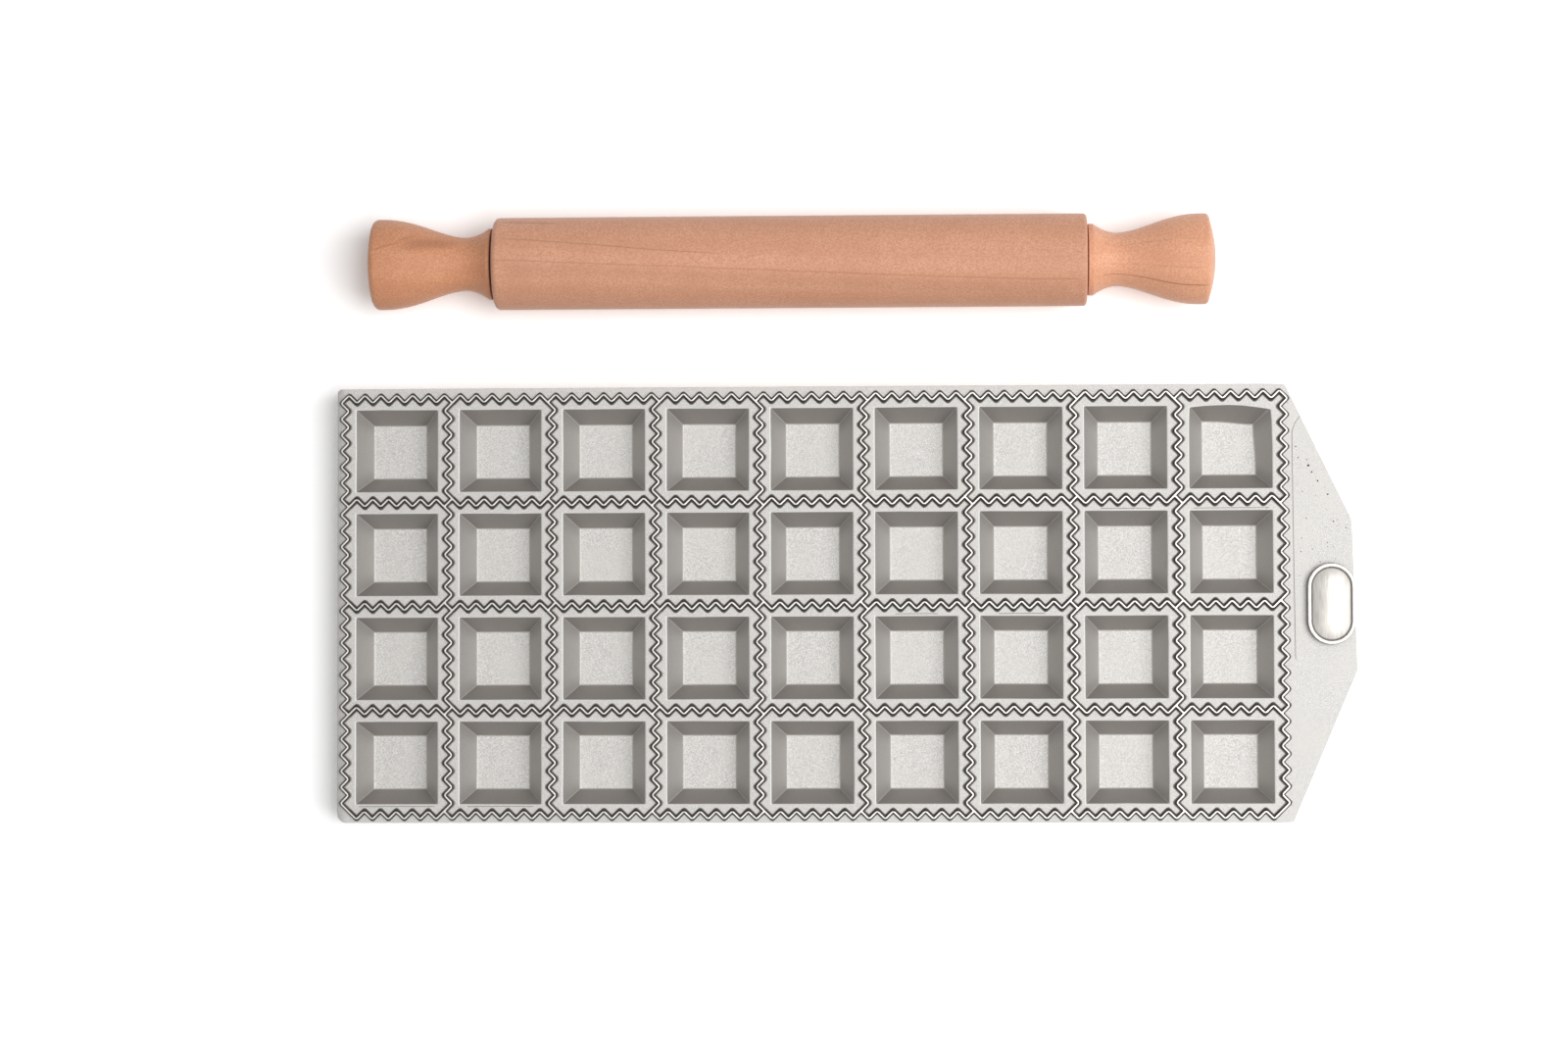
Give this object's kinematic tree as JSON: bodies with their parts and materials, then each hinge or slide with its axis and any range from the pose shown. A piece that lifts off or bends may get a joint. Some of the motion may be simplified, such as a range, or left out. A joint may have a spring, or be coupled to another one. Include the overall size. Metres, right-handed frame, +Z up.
{
  "type": "ravioli mould",
  "caption": "Cast aluminium ravioli tablet: square pockets parted by serrated cutting ridges, grip tab at one end, rubber feet, with its turned wooden rolling pin.",
  "frame": {"origin": "on the table, under the middle of the box round the mould and its pin", "axes": "+X along the mould's length towards the grip tab, +Y across it towards the rolling pin, +Z up out of the pockets"},
  "size_m": [0.313, 0.1866, 0.0284],
  "materials": {
    "cast_aluminium": "fine blasted casting, bright on the crests",
    "polished_nickel": "polished, bare",
    "rubber_feet": "matt black",
    "barrel_beech": "turned and sanded, not varnished",
    "handle_beech": "turned and sanded, not varnished",
    "axle_steel": "drawn rod",
    "bush_nylon": "natural nylon"
  },
  "bodies": {
    "mould": {"tablet_casting": "cast_aluminium", "plaque": "polished_nickel", "foot_front_left": "rubber_feet", "foot_front_right": "rubber_feet", "foot_back_left": "rubber_feet", "foot_back_right": "rubber_feet"},
    "pin_handles": {"pin_axle": "axle_steel", "pin_handle_left": "handle_beech", "pin_handle_right": "handle_beech"},
    "pin_roller": {"pin_barrel": "barrel_beech", "pin_bush_left": "bush_nylon", "pin_bush_right": "bush_nylon"}
  },
  "joints": [
    {"name": "pin_lift", "type": "slide", "parent": "mould", "child": "pin_handles", "axis": [0, 0, 1], "range_m": [0, 0.08]},
    {"name": "barrel_spin", "type": "hinge", "parent": "pin_handles", "child": "pin_roller", "pos_m": [-0.0164, 0.07907, 0.01421], "axis": [1, 0, 0], "continuous": true}
  ]
}
